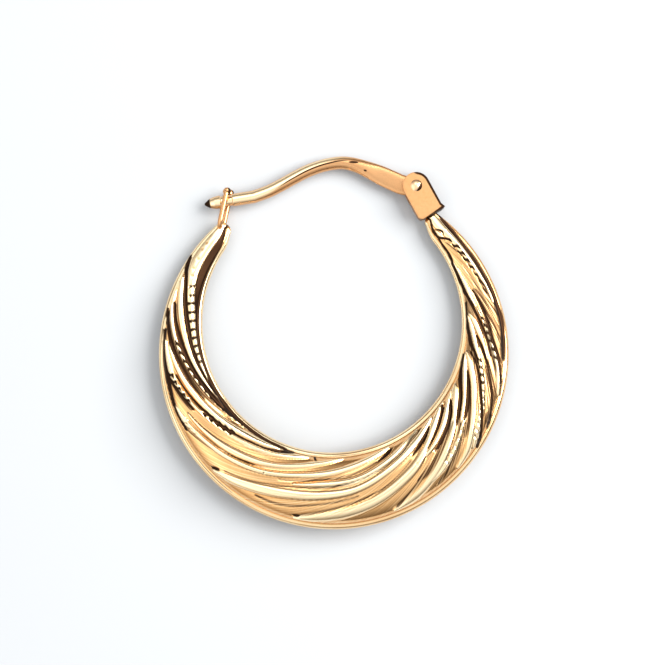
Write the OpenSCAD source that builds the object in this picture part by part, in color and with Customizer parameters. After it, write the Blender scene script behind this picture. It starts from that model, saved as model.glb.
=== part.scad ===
// Creole hoop earring, closed and lying on its side.
// A hollow crescent is pressed in two halves with a swirl of plain and beaded
// strands. A riveted clevis sits on one tip and a forked catch on the other,
// and a bent ear wire swings on the rivet and snaps into the fork.
// The hoop is drawn flat about its own centre, x to the hinge's side and y up
// to the ear wire, and is then laid down the way it rests.

/* [Hoop] */
// Diameter of the outer edge
hoop_d = 22; // [20:0.5:26]
// Width of the crescent at the bottom
belly_w = 4.82; // [4:0.02:5.6]
// Width that the crescent would taper to at the very top
crown_w = 0.88; // [0.7:0.02:1.2]
// Thickness of the body at the bottom
belly_t = 3.2; // [2.6:0.1:3.8]
// Thickness of the body at its tips
tip_t = 1; // [0.9:0.02:1.1]
// How far the opening sits to the catch's side
opening_shift = 0.11; // [0:0.01:0.2]
// Thickness of the pressed sheet between the strands
sheet_t = 0.25; // [0.2:0.01:0.3]

/* [Rims] */
// Width of the plain rim along both edges
rim_w = 0.33; // [0.25:0.01:0.4]
// Height of the rim above the seam between the halves
rim_h = 0.3; // [0.2:0.01:0.36]

/* [Strands] */
// Height of the strands above the sheet
strand_h = 0.2; // [0.1:0.01:0.25]
// How strongly the strands bow as they cross the crescent
strand_bow = 0.8; // [0.7:0.05:1]

/* [Tips] */
// Angle of the tip with the catch, anticlockwise from the hinge's side
catch_tip = 134.5; // [133:0.5:138]
// Angle of the tip with the hinge
hinge_tip = 410.5; // [408:0.5:412]
// How much the inner edge draws in at a tip
tip_nip = 0.35; // [0:0.05:0.45]
// Length of the rounding at the tips
tip_round = 0.3; // [0.2:0.05:0.4]

/* [Hinge] */
// How far the rivet stands in from the hinge's tip
rivet_in = 0.95; // [0.8:0.05:1.1]
// How far the rivet stands above the hinge's tip
rivet_up = 2.08; // [1.9:0.02:2.3]
// Way in which the clevis points, anticlockwise from the hinge's side
clevis_angle = 118.4; // [112:0.4:124]
// Width of the clevis
clevis_w = 1.7; // [1.6:0.05:1.8]
// Length of the clevis below the rivet
clevis_drop = 2.06; // [1.9:0.02:2.2]
// Thickness of each ear of the clevis
ear_t = 0.34; // [0.3:0.01:0.4]
// Depth of the slot below the rivet
slot_drop = 0.9; // [0.8:0.05:1]
// Diameter of the rivet
rivet_d = 0.46; // [0.4:0.01:0.55]
// Diameter of the rivet's heads
rivet_head_d = 0.74; // [0.66:0.01:0.9]
// Height of the rivet's heads
rivet_head_h = 0.14; // [0.1:0.01:0.2]

/* [Ear wire] */
// Diameter of the round wire
wire_d = 0.8; // [0.7:0.02:0.86]
// Width of the flattened end at the hinge
blade_w = 1.24; // [1.1:0.02:1.4]
// Thickness of the flattened end
blade_t = 0.46; // [0.4:0.02:0.5]
// Length of the straight wire behind the catch
post_l = 1.3; // [1:0.1:1.5]
// Diameter of the neck that the catch holds
neck_d = 0.66; // [0.6:0.02:0.7]
// Length of the pointed end beyond the catch
point_l = 1.4; // [1.2:0.1:1.6]

/* [Catch] */
// How far the wire's neck stands in from the catch's tip
catch_in = 0.12; // [0:0.02:0.3]
// How far the wire's neck stands above the catch's tip
catch_up = 1.72; // [1.6:0.02:1.9]
// Thickness of the fork's two prongs
prong_d = 0.32; // [0.26:0.02:0.36]
// Diameter of the balls on the prongs
prong_ball_d = 0.5; // [0.4:0.02:0.54]
// Height of the prongs' middles above the wire's middle, where the balls sit
prong_rise = 0.54; // [0.5:0.02:0.66]
// Lean of the fork from the upright, towards the hinge
fork_lean = 12; // [0:1:20]
// Turn of the fork about its own stem
fork_twist = 9; // [0:1:12]

/* [Fits] */
// Gap round the rivet in the blade's hole
hinge_gap = 0.03; // [0.02:0.01:0.06]
// Gap between the blade and each ear, and between the wire and each prong
side_gap = 0.03; // [0.02:0.01:0.06]
// Gap between the neck's shoulders and the balls of the fork
neck_gap = 0.1; // [0.06:0.02:0.16]
// Gap round the rivet in the ears
rivet_gap = 0.01; // [0.01:0.01:0.02]

/* [Hidden] */
// Shape of one strand pair across: share of its width, share of its height
STRAND = [
  [0.00, 0.75], // groove between the beaded and the plain strand
  [0.13, 1.00], // crest of the beaded strand
  [0.30, 0.40],
  [0.48, 0.00], // floor of the valley
  [0.70, 0.40],
  [0.87, 1.00], // crest of the plain strand
  [1.00, 0.75],
];
// Each groove between a pair: the angle where it leaves the outer rim and
// the angle where it runs into the inner rim
GROOVES = [
  [20, 98],
  [66, 138],
  [110, 176],
  [156, 215],
  [181, 246],
  [204, 277],
  [229, 304],
  [258, 327],
  [287, 344],
  [311, 359],
  [332, 374],
  [353, 390],
  [378, 414],
  [406, 442],
];
// Ear wire from the hinge to the catch: share of the way along, rise above
// the straight way as a share of it, share of blade against round wire
WIRE = [
  [0.000, 0.000, 1.00],
  [0.066, 0.012, 1.00],
  [0.127, 0.043, 1.00],
  [0.189, 0.078, 0.88],
  [0.250, 0.111, 0.50],
  [0.311, 0.139, 0.20],
  [0.375, 0.155, 0.05],
  [0.439, 0.154, 0.00],
  [0.505, 0.143, 0.00],
  [0.571, 0.123, 0.00],
  [0.639, 0.094, 0.00],
  [0.706, 0.063, 0.00],
  [0.773, 0.035, 0.00],
  [0.839, 0.016, 0.00],
];
// Point of the ear wire: share of its length, share of the barrel's radius
POINT = [
  [0.55, 0.90],
  [0.78, 0.66],
  [1.00, 0.16],
];
STRAND_STEPS = 18; // steps that a strand takes to cross the crescent
CROSSINGS = 7; // crossings, one after another, that lead past the hinge's tip
RIM_STEPS = 3; // steps round each rim
TIP_STEPS = 3; // sections in each rounded tip
TIP_TURN = 75; // degrees of rounding before a tip's flat end
HOLLOW_STATIONS = 36; // sections along the hollow
HOLLOW_STEPS = 12; // steps round the hollow
WIRE_STEPS = 4; // sections to each row of the ear wire
WIRE_SIDES = 16; // steps round the ear wire
EYE_STEPS = 6; // steps round the blade's end at the rivet
$fn = 48;

opening_d = hoop_d - belly_w - crown_w;
opening_centre = [-opening_shift, belly_w + opening_d / 2 - hoop_d / 2];
hub = opening_centre / 2;
nip_reach = 7; // degrees over which the inner edge draws in
rim_share = 0.16; // widest rim, as a share of the crescent's width
foot_share = 0.8; // where the strands start, as a share of the rim's height
fade_share = 0.33; // part of a strand's way over which it rises to full height
fade_least = 0.2; // a strand's height where it meets a rim, as a share of its full height
bottom = 270; // the angle of the crescent's widest section

function mix(a, b, share) = a + (b - a) * share;
function way(angle) = [cos(angle), sin(angle)];
function clamp01(a) = min(1, max(0, a));

// Distance from the hub to a circle, along an angle
function reach(centre, radius, angle) =
  let (back = hub - centre, along = back * way(angle))
  sqrt(along * along - back * back + radius * radius) - along;

// How much the inner edge draws in near a tip
function nip(angle) =
  let (from_tip = min(angle - catch_tip, hinge_tip - angle))
  tip_nip * pow(clamp01(1 - from_tip / nip_reach), 2);

function outer_edge(angle) = reach([0, 0], hoop_d / 2, angle);
function inner_edge(angle) = reach(opening_centre, opening_d / 2, angle) + nip(angle);
function width(angle) = outer_edge(angle) - inner_edge(angle);
function middle(angle) = hub + (outer_edge(angle) + inner_edge(angle)) / 2 * way(angle);
function rim(angle) = min(rim_w, rim_share * width(angle));

// Half of the body's thickness, strands included
tip_w = (width(catch_tip) + width(hinge_tip)) / 2;
function half_t(angle) =
  mix(tip_t, belly_t, clamp01((width(angle) - tip_w) / (belly_w - tip_w))) / 2;

// Stations stand so that a strand passes one in each of its steps: the strand
// that leaves the outer rim at a station runs into the inner rim STRAND_STEPS on
function station(n) =
  n < STRAND_STEPS
    ? mix(GROOVES[0][0], GROOVES[0][1], n / STRAND_STEPS)
    : lookup(station(n - STRAND_STEPS), GROOVES);
angle_of_station = [for (n = [0:CROSSINGS * STRAND_STEPS]) [n, station(n)]];
station_of_angle = [for (row = angle_of_station) [row[1], row[0]]];
pair_of_angle = [for (n = [0:len(GROOVES) - 1]) [GROOVES[n][0], n]];
first_station = lookup(catch_tip, station_of_angle);
last_station = lookup(hinge_tip, station_of_angle);
sections = round(last_station - first_station);
pace = (last_station - first_station) / sections;
function section_angle(n) = lookup(first_station + n * pace, angle_of_station);

// Height of the strands at a section, so many steps in from the outer rim
function relief(n, step) =
  let (
    pair = lookup(section_angle(n - step), pair_of_angle),
    from_rim = min(step, STRAND_STEPS - step) / STRAND_STEPS,
    edge = mix(fade_least, 1, clamp01(from_rim / fade_share)),
    fullness = clamp01(2 * width(section_angle(n)) / belly_w)
  )
  strand_h * fullness * edge * lookup(pair - floor(pair), STRAND);

// One point of a section: distance out from the section's middle, and height
function rim_point(angle, end, turn) =
  [end * (width(angle) / 2 - rim(angle) * (1 - cos(turn))), rim_h * sin(turn)];
function face_point(n, step) =
  let (
    angle = section_angle(n),
    turn = acos(2 * pow(1 - step / STRAND_STEPS, 1 / strand_bow) - 1),
    half_w = width(angle) / 2 - rim(angle),
    base = rim_h * foot_share,
    rise = half_t(angle) - strand_h - base,
    slope = [cos(turn) / half_w, sin(turn) / rise]
  )
  [half_w * cos(turn), base + rise * sin(turn)] + relief(n, step) / norm(slope) * slope;

// A section, from the outer seam over the front to the inner seam and back
// under. The two pressings are mirror images.
function front(n) =
  let (angle = section_angle(n))
  concat(
    [for (r = [1:RIM_STEPS - 1]) rim_point(angle, 1, 90 * r / RIM_STEPS)],
    [for (step = [0:STRAND_STEPS]) face_point(n, step)],
    [for (r = [RIM_STEPS - 1:-1:1]) rim_point(angle, -1, 90 * r / RIM_STEPS)]
  );
function section(n) =
  let (over = front(n), seam = [width(section_angle(n)) / 2, 0], last = len(over) - 1)
  concat([seam], over, [-seam], [for (p = [last:-1:0]) [over[p][0], -over[p][1]]]);

// A ring of points in space, shrunk and moved along where a tip rounds off
function ring(angle, shape, shrink = 1, along = 0) =
  let (out = way(angle), place = middle(angle) + along * [-out[1], out[0]])
  [for (p = shape)
    let (flat = place + shrink * p[0] * out)
    [flat[0], flat[1], shrink * p[1]]];

// Closed skin over rings of points, with a point at each end. Up to each ring's
// turning point the faces are split along the front's strands, and past it the
// other way, along the back's.
module skin(rings, first, last, turning) {
  sides = len(rings[0]);
  count = len(rings);
  points = concat([for (r = rings) for (p = r) p], [first, last]);
  faces = concat(
    [for (r = [0:count - 2]) for (s = [0:sides - 1])
      let (
        a = r * sides + s,
        b = r * sides + (s + 1) % sides,
        c = a + sides,
        d = b + sides
      )
      each s < turning ? [[a, b, d], [a, d, c]] : [[a, b, c], [c, b, d]]],
    [for (s = [0:sides - 1]) [count * sides, (s + 1) % sides, s]],
    [for (s = [0:sides - 1])
      [count * sides + 1, (count - 1) * sides + s, (count - 1) * sides + (s + 1) % sides]]
  );
  polyhedron(points, faces, convexity = 10);
}

function flat_point(place, up = 0) = [place[0], place[1], up];
function along_tip(angle, distance) = middle(angle) + distance * [-sin(angle), cos(angle)];

// The pressed crescent's outer form
module crescent() {
  catch_shape = section(0);
  hinge_shape = section(sections);
  rings = concat(
    [for (n = [TIP_STEPS:-1:1])
      let (turn = TIP_TURN * n / TIP_STEPS)
      ring(catch_tip, catch_shape, cos(turn), -tip_round * sin(turn))],
    [for (n = [0:sections]) ring(section_angle(n), section(n))],
    [for (n = [1:TIP_STEPS])
      let (turn = TIP_TURN * n / TIP_STEPS)
      ring(hinge_tip, hinge_shape, cos(turn), tip_round * sin(turn))]
  );
  skin(
    rings,
    flat_point(along_tip(catch_tip, -tip_round)),
    flat_point(along_tip(hinge_tip, tip_round)),
    len(catch_shape) / 2
  );
}

// The space between the two pressed halves
hollow_inset = 13; // degrees from each tip to the hollow's end
function hollow_ring(angle) =
  let (
    half_w = width(angle) / 2 - rim(angle) - sheet_t / 2,
    half_h = half_t(angle) - strand_h - sheet_t
  )
  [for (n = [0:HOLLOW_STEPS - 1])
    let (turn = 360 * n / HOLLOW_STEPS)
    [half_w * cos(turn), half_h * sin(turn)]];
module hollow() {
  first = catch_tip + hollow_inset;
  last = hinge_tip - hollow_inset;
  rings = [for (n = [0:HOLLOW_STATIONS])
    let (angle = mix(first, last, n / HOLLOW_STATIONS))
    ring(angle, hollow_ring(angle))];
  skin(rings, flat_point(along_tip(first, -sheet_t)), flat_point(along_tip(last, sheet_t)), 0);
}

// Hinge: the clevis is bent from strip and soldered over the hinge's tip
ear_gap = blade_t + 2 * side_gap;
clevis_t = ear_gap + 2 * ear_t;
rivet = middle(hinge_tip) + [-rivet_in, rivet_up];
base_round = 0.3; // radius of the clevis's inner bottom corner
module at_rivet() {
  translate(flat_point(rivet)) rotate(clevis_angle - 90) children();
}
module clevis() {
  at_rivet() difference() {
    union() {
      cylinder(d = clevis_w, h = clevis_t, center = true);
      translate([-clevis_w / 2, base_round - clevis_drop, -clevis_t / 2])
        cube([clevis_w, clevis_drop - base_round, clevis_t]);
      translate([base_round - clevis_w / 2, -clevis_drop, -clevis_t / 2])
        cube([clevis_w - base_round, 2 * base_round, clevis_t]);
      translate([base_round - clevis_w / 2, base_round - clevis_drop, 0])
        cylinder(r = base_round, h = clevis_t, center = true);
    }
    translate([-clevis_w, -slot_drop, -ear_gap / 2]) cube([2 * clevis_w, 2 * clevis_w, ear_gap]);
    cylinder(r = rivet_d / 2 + rivet_gap, h = 2 * clevis_t, center = true);
  }
}

// Rivet through both ears and the blade, with a domed head on each face
head_r = (rivet_head_d * rivet_head_d / 4 + rivet_head_h * rivet_head_h) / (2 * rivet_head_h);
module rivet_head() {
  intersection() {
    translate([0, 0, rivet_head_h - head_r]) sphere(r = head_r);
    cylinder(d = 2 * rivet_head_d, h = rivet_head_h);
  }
}
module hinge_pin() {
  shank_l = clevis_t + 2 * rivet_gap;
  color("gold") lay_down() at_rivet() union() {
    cylinder(d = rivet_d, h = shank_l, center = true);
    translate([0, 0, shank_l / 2]) rivet_head();
    translate([0, 0, -shank_l / 2]) mirror([0, 0, 1]) rivet_head();
  }
}

// Catch: a fork of two prongs, one on each side of the wire's neck
catch_hold = middle(catch_tip) + [catch_in, catch_up];
prong_out = wire_d / 2 + side_gap + prong_d / 2;
solder_depth = 0.1; // how far the fork's foot sinks into the tip
fork_drop = catch_up + solder_depth;
ball_out = prong_out - (prong_ball_d - prong_d) / 2; // balls flush with the prongs' outsides
module prong() {
  translate([prong_out, 0, prong_out - fork_drop])
    cylinder(d = prong_d, h = fork_drop - prong_out + prong_rise);
  translate([ball_out, 0, prong_rise]) sphere(d = prong_ball_d);
}
module catch_fork() {
  translate(flat_point(catch_hold)) rotate(-fork_lean) rotate([-90, 0, 0]) rotate(90 + fork_twist)
    union() {
      prong();
      mirror([1, 0, 0]) prong();
      translate([0, 0, prong_out - fork_drop]) rotate([90, 0, 0]) rotate([0, 0, 180])
        rotate_extrude(angle = 180) translate([prong_out, 0]) circle(d = prong_d);
    }
}

// Pressed body, clevis and fork are soldered into one
module hoop() {
  color("goldenrod") lay_down() union() {
    difference() {
      crescent();
      hollow();
    }
    clevis();
    catch_fork();
  }
}

// The ear wire ends in a straight post with a neck and a bullet point, which
// lies across the catch
span = catch_hold - rivet;
lift = [span[1], -span[0]];
post_dip = 4.5; // degrees that the post dips below the straight way from the rivet
post_angle = atan2(span[1], span[0]) + post_dip;
neck_l = prong_ball_d + 2 * neck_gap;
shoulder_l = 0.05; // length of the slope from the neck to the wire and the barrel
waist = 0.02; // how much slimmer the filed neck is in its middle than at its ends
barrel_r = wire_d / 2 + side_gap;
post_start = -post_l - neck_l / 2;
function post_place(distance) = catch_hold + distance * way(post_angle);
module post() {
  translate(flat_point(catch_hold)) rotate([0, 0, post_angle]) rotate([0, 90, 0])
    rotate_extrude() polygon(concat(
      [
        [0, post_start],
        [wire_d / 2, post_start],
        [wire_d / 2, -neck_l / 2 - shoulder_l],
        [neck_d / 2 + waist, -neck_l / 2],
        [neck_d / 2, 0],
        [neck_d / 2 + waist, neck_l / 2],
        [barrel_r, neck_l / 2 + shoulder_l],
      ],
      [for (row = POINT) [row[1] * barrel_r, row[0] * point_l]],
      [[0, point_l]]
    ));
}

// Rows of the table and two places on the post, joined by a smooth curve
function wire_place(row) = rivet + row[0] * span + row[1] * lift;
function row_at(place) =
  let (away = (place - rivet) / (span * span))
  [away * span, away * lift, 0];
ROWS = concat(WIRE, [row_at(post_place(post_start)), row_at(post_place(-neck_l))]);
function row(n) = ROWS[min(len(ROWS) - 1, max(0, n))];
function curve(n, share) =
  let (
    a = row(n - 1),
    b = row(n),
    c = row(n + 1),
    d = row(n + 2),
    bend = 2 * a - 5 * b + 4 * c - d,
    twist = 3 * b - a - 3 * c + d
  )
  b + (c - a) * share / 2 + bend * pow(share, 2) / 2 + twist * pow(share, 3) / 2;
function wire_row(step) =
  let (n = min(len(ROWS) - 2, floor(step / WIRE_STEPS)))
  curve(n, step / WIRE_STEPS - n);

// A ring round the wire: square_off turns its oval into the blade's rounded slab
function wire_ring(place, heading, half_w, half_t, square_off) =
  let (power = 1 - square_off / 2, side = [heading[1], -heading[0]])
  [for (n = [0:WIRE_SIDES - 1])
    let (
      turn = 360 * n / WIRE_SIDES,
      out = half_w * sign(cos(turn)) * pow(abs(cos(turn)), power),
      up = half_t * sign(sin(turn)) * pow(abs(sin(turn)), power)
    )
    [place[0] + out * side[0], place[1] + out * side[1], up]];
wire_inset = 0.01; // the swept wire's end lies this far inside the round post
wire_sink = 0.05; // and reaches this far into it
last_step = len(WIRE) * WIRE_STEPS;
module bent_wire() {
  eye_r = blade_w / 2;
  round_r = wire_d / 2 - wire_inset;
  start = wire_place(wire_row(1)) - wire_place(wire_row(0));
  heading_in = start / norm(start);
  rings = concat(
    [for (n = [EYE_STEPS - 1:-1:1])
      let (turn = 90 * n / EYE_STEPS)
      wire_ring(rivet - eye_r * sin(turn) * heading_in, heading_in, eye_r * cos(turn), blade_t / 2, 1)],
    [for (step = [0:last_step])
      let (
        row = wire_row(step),
        ahead = wire_place(wire_row(step + 1)) - wire_place(wire_row(max(0, step - 1))),
        flat = clamp01(row[2])
      )
      wire_ring(
        wire_place(row), ahead / norm(ahead),
        mix(round_r, blade_w / 2, flat), mix(round_r, blade_t / 2, flat), flat
      )],
    [wire_ring(post_place(post_start + wire_sink), way(post_angle), round_r, round_r, 0)]
  );
  first = rivet - eye_r * heading_in;
  last = post_place(post_start + 2 * wire_sink);
  skin(rings, flat_point(first), flat_point(last), 0);
}
module ear_wire() {
  color("gold") lay_down() difference() {
    union() {
      bent_wire();
      post();
    }
    translate(flat_point(rivet))
      cylinder(r = rivet_d / 2 + hinge_gap, h = 2 * wire_d, center = true);
  }
}

// Laid down: the belly, a rivet head and the fork touch the surface
belly_y = middle(bottom)[1];
rest_half = clevis_t / 2 + rivet_gap + rivet_head_h;
lie_pitch = asin((belly_t / 2 - rest_half) / (rivet[1] - belly_y));
lie_up = belly_t / 2 * cos(lie_pitch) + belly_y * sin(lie_pitch);
crest_y = max([for (row = WIRE) wire_place(row)[1]]) + wire_d / 2;
module lay_down() {
  translate([0, (hoop_d / 2 - crest_y) / 2, lie_up]) rotate([-lie_pitch, 0, 0]) children();
}

hoop();
hinge_pin();
ear_wire();
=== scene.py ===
import bpy
import math
import numpy as np
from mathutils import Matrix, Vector


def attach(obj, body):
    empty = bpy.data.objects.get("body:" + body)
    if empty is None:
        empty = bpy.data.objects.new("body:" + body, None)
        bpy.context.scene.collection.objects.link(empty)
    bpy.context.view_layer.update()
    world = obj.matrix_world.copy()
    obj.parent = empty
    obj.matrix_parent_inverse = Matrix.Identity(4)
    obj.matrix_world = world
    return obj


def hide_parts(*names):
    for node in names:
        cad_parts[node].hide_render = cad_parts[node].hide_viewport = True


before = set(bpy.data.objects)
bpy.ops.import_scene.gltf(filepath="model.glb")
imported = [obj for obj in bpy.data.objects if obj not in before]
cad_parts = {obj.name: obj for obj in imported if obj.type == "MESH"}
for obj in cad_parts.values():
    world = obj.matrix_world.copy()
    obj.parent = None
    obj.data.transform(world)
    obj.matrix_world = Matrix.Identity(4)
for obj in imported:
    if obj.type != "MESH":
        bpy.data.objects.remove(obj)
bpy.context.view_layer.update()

# Hoop shell. The real hoop is a hollow crescent of yellow gold, stamped from thin sheet in two
# mirror-image halves that are soldered along a plain rim. A swirl of plain and beaded strands
# is stamped into both faces. Shade is painted dark into the creases between them and onto some
# flanks, and highlights are painted on the strands' crests and the rims.
# Lengths are in millimetres in the flat hoop's own frame: x towards the hinge, y towards the ear wire.
HOOP_D = 22.0
BELLY_W = 4.82
CROWN_W = 0.88
BELLY_T = 3.2
TIP_T = 1.0
OPENING_SHIFT = 0.11
CATCH_TIP = 134.5
HINGE_TIP = 410.5
TIP_NIP = 0.35
NIP_REACH = 7.0
TIP_ROUND = 0.3
RIM_W = 0.33
RIM_H = 0.3
RIM_SHARE = 0.16
STRAND_H = 0.2
BOTTOM = 270.0

OPENING_D = HOOP_D - BELLY_W - CROWN_W
OPENING_CENTRE = np.array([-OPENING_SHIFT, BELLY_W + OPENING_D / 2 - HOOP_D / 2])
HUB = OPENING_CENTRE / 2


def way(angle):
    """Directions at angles in degrees, anticlockwise from the hinge's side."""
    turn = np.radians(angle)
    return np.stack([np.cos(turn), np.sin(turn)], -1)


def reach(centre, radius, angle):
    """Distance from the hub to a circle, along each angle."""
    back = HUB - centre
    along = way(angle) @ back
    return np.sqrt(along**2 - back @ back + radius**2) - along


def outer_edge(angle):
    """How far the hoop's outer edge is from the hub."""
    return reach(np.zeros(2), HOOP_D / 2, angle)


def inner_edge(angle):
    """How far its inner edge is, pinched in a little at both tips."""
    from_tip = np.minimum(angle - CATCH_TIP, HINGE_TIP - angle)
    nip = TIP_NIP * np.clip(1 - from_tip / NIP_REACH, 0, 1) ** 2
    return reach(OPENING_CENTRE, OPENING_D / 2, angle) + nip


def width(angle):
    return outer_edge(angle) - inner_edge(angle)


def middle(angle):
    return HUB + ((outer_edge(angle) + inner_edge(angle)) / 2)[..., None] * way(angle)


TIP_W = (width(np.array(CATCH_TIP)) + width(np.array(HINGE_TIP))) / 2


def half_thickness(angle):
    share = np.clip((width(angle) - TIP_W) / (BELLY_W - TIP_W), 0, 1)
    return (TIP_T + (BELLY_T - TIP_T) * share) / 2


# The pattern is charted as lines from the outer rim to the inner: each row is a line, and its places are
# the angle round the hoop, the share of the way across to the inner rim, and the half width as a share.
# Raised strands, from the catch's tip round to the hinge's
STRANDS = [
    [[130, 0.28, 0.24], [138, 0.29, 0.27], [145, 0.31, 0.28], [153, 0.36, 0.24], [161, 0.55, 0.15],
     [170, 0.72, 0.12], [180, 0.81, 0.08], [190, 0.85, 0.06], [199, 0.88, 0.02]],
    [[157, 0.15, 0.03], [160, 0.21, 0.08], [166, 0.35, 0.1], [172, 0.47, 0.1], [181, 0.61, 0.08],
     [190, 0.71, 0.06], [201, 0.81, 0.05], [213, 0.89, 0.02]],
    [[158, 0.15, 0.04], [163, 0.13, 0.05], [170, 0.19, 0.05], [176, 0.29, 0.05], [183, 0.42, 0.05],
     [190, 0.55, 0.04], [201, 0.72, 0.03], [214, 0.85, 0.03], [228, 0.91, 0.01]],
    [[181, 0.22, 0.03], [190, 0.35, 0.05], [200, 0.51, 0.06], [212, 0.66, 0.06], [228, 0.82, 0.06],
     [246, 0.91, 0.02]],
    [[180, 0.15, 0.02], [188, 0.2, 0.06], [194, 0.25, 0.05], [200, 0.35, 0.04], [210, 0.51, 0.04],
     [222, 0.66, 0.04], [236, 0.76, 0.05], [248, 0.85, 0.05], [260, 0.92, 0.02]],
    [[203, 0.16, 0.02], [208, 0.19, 0.05], [216, 0.28, 0.04], [228, 0.39, 0.04], [241, 0.5, 0.04],
     [256, 0.64, 0.04], [270, 0.73, 0.05], [285, 0.83, 0.04], [298, 0.91, 0.02]],
    [[207, 0.3, 0.02], [218, 0.41, 0.04], [230, 0.52, 0.06], [245, 0.66, 0.04], [260, 0.81, 0.04],
     [276, 0.91, 0.01]],
    [[227, 0.12, 0.02], [234, 0.18, 0.06], [242, 0.27, 0.07], [252, 0.35, 0.07], [265, 0.42, 0.06],
     [278, 0.48, 0.05], [292, 0.61, 0.05], [304, 0.73, 0.06], [313, 0.81, 0.05], [322, 0.9, 0.02]],
    [[254, 0.5, 0.02], [265, 0.56, 0.05], [280, 0.61, 0.05], [293, 0.72, 0.05], [304, 0.82, 0.04],
     [313, 0.9, 0.02]],
    [[257, 0.09, 0.02], [264, 0.13, 0.06], [273, 0.19, 0.07], [284, 0.28, 0.07], [295, 0.4, 0.07],
     [304, 0.51, 0.07], [311, 0.63, 0.06], [318, 0.76, 0.06], [325, 0.86, 0.04], [331, 0.9, 0.01]],
    [[289, 0.1, 0.02], [297, 0.14, 0.06], [305, 0.23, 0.06], [313, 0.35, 0.06], [322, 0.51, 0.06],
     [330, 0.68, 0.07], [336, 0.8, 0.07], [340, 0.87, 0.02]],
    [[308, 0.52, 0.02], [316, 0.6, 0.05], [323, 0.69, 0.06], [331, 0.81, 0.05], [337, 0.88, 0.01]],
    [[313, 0.1, 0.02], [320, 0.15, 0.05], [328, 0.3, 0.05], [336, 0.46, 0.06], [344, 0.61, 0.07],
     [350, 0.74, 0.06], [355, 0.85, 0.02]],
    [[326, 0.47, 0.02], [332, 0.57, 0.05], [340, 0.7, 0.05], [347, 0.8, 0.04], [354, 0.86, 0.01]],
    [[321, 0.1, 0.02], [326, 0.17, 0.05], [336, 0.31, 0.05], [344, 0.43, 0.05], [350, 0.54, 0.05],
     [357, 0.67, 0.05], [364, 0.77, 0.05], [370, 0.84, 0.02]],
    [[351, 0.42, 0.02], [357, 0.51, 0.04], [363, 0.63, 0.07], [368, 0.74, 0.07], [371, 0.82, 0.02]],
    [[340, 0.1, 0.02], [348, 0.19, 0.04], [356, 0.32, 0.05], [363, 0.44, 0.05], [368, 0.53, 0.04],
     [373, 0.63, 0.01]],
    [[372, 0.62, 0.02], [377, 0.7, 0.05], [383, 0.75, 0.06], [389, 0.79, 0.04], [393, 0.8, 0.01]],
    [[372, 0.19, 0.03], [378, 0.2, 0.05], [384, 0.26, 0.07], [390, 0.31, 0.1], [396, 0.34, 0.13],
     [401, 0.36, 0.15], [405, 0.37, 0.19], [409, 0.38, 0.26], [412, 0.36, 0.25]],
    [[401.6, 0.62, 0.03], [404.2, 0.61, 0.1], [407, 0.66, 0.03]],
    [[304, 0.19, 0.02], [311, 0.24, 0.04], [319, 0.32, 0.05], [326, 0.42, 0.04], [332, 0.51, 0.02]],
]
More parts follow.
